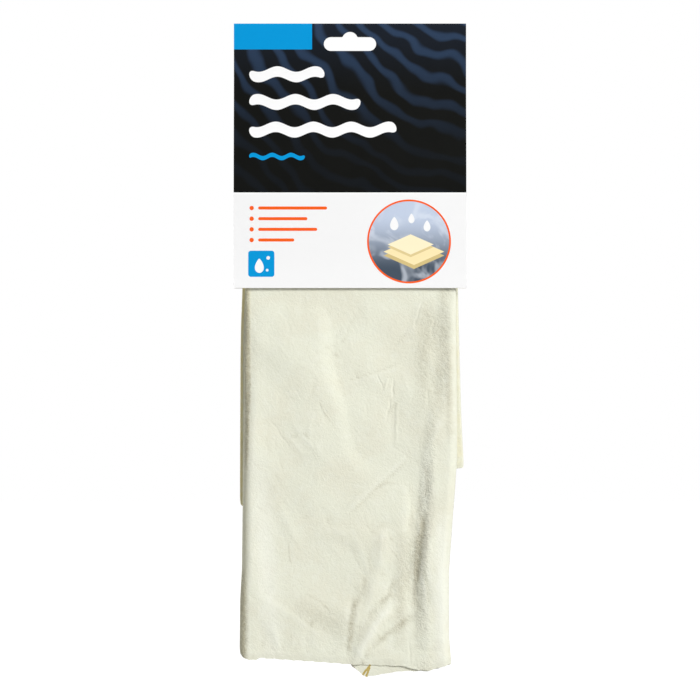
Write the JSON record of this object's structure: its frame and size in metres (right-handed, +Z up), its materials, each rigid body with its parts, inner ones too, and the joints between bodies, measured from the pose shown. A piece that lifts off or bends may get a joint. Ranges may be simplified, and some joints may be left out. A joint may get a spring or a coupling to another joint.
{
  "type": "chamois leather",
  "caption": "Folded chamois drying leather hanging in a creased header card with a hanging slot; the hide's free leaves and the card's front panel swing.",
  "frame": {"origin": "top of the bump in the hanging slot, where the display peg bears, half way between the two card panels", "axes": "+Z up to the card's crease, -Y out of the printed front, +X to the right seen from the front"},
  "size_m": [0.142, 0.0166, 0.399],
  "materials": {
    "printed_board": "coated, printed",
    "plain_board": "uncoated",
    "chamois": "suede nap",
    "staple_wire": "zinc plated",
    "hot_melt": "soft gloss"
  },
  "bodies": {
    "rear_card": {"card_rear_panel": "plain_board", "hide_gripped_fold": "chamois", "staple_left": "staple_wire", "staple_right": "staple_wire", "glue_spot_left": "hot_melt", "glue_spot_right": "hot_melt"},
    "front_card": {"card_front_panel": "printed_board"},
    "front_leaf": {"hide_front_leaf": "chamois"},
    "rear_leaf": {"hide_rear_leaf": "chamois"}
  },
  "joints": [
    {"name": "front_panel_crease", "type": "hinge", "parent": "rear_card", "child": "front_card", "pos_m": [0, 0, 0.00535], "axis": [-1, 0, 0], "range_deg": [0, 170]},
    {"name": "front_leaf_bend", "type": "hinge", "parent": "rear_card", "child": "front_leaf", "pos_m": [0, -0.0056, -0.15695], "axis": [-1, 0, 0], "range_deg": [0, 165]},
    {"name": "rear_leaf_bend", "type": "hinge", "parent": "rear_card", "child": "rear_leaf", "pos_m": [0, 0.0056, -0.15695], "axis": [1, 0, 0], "range_deg": [0, 165]}
  ]
}
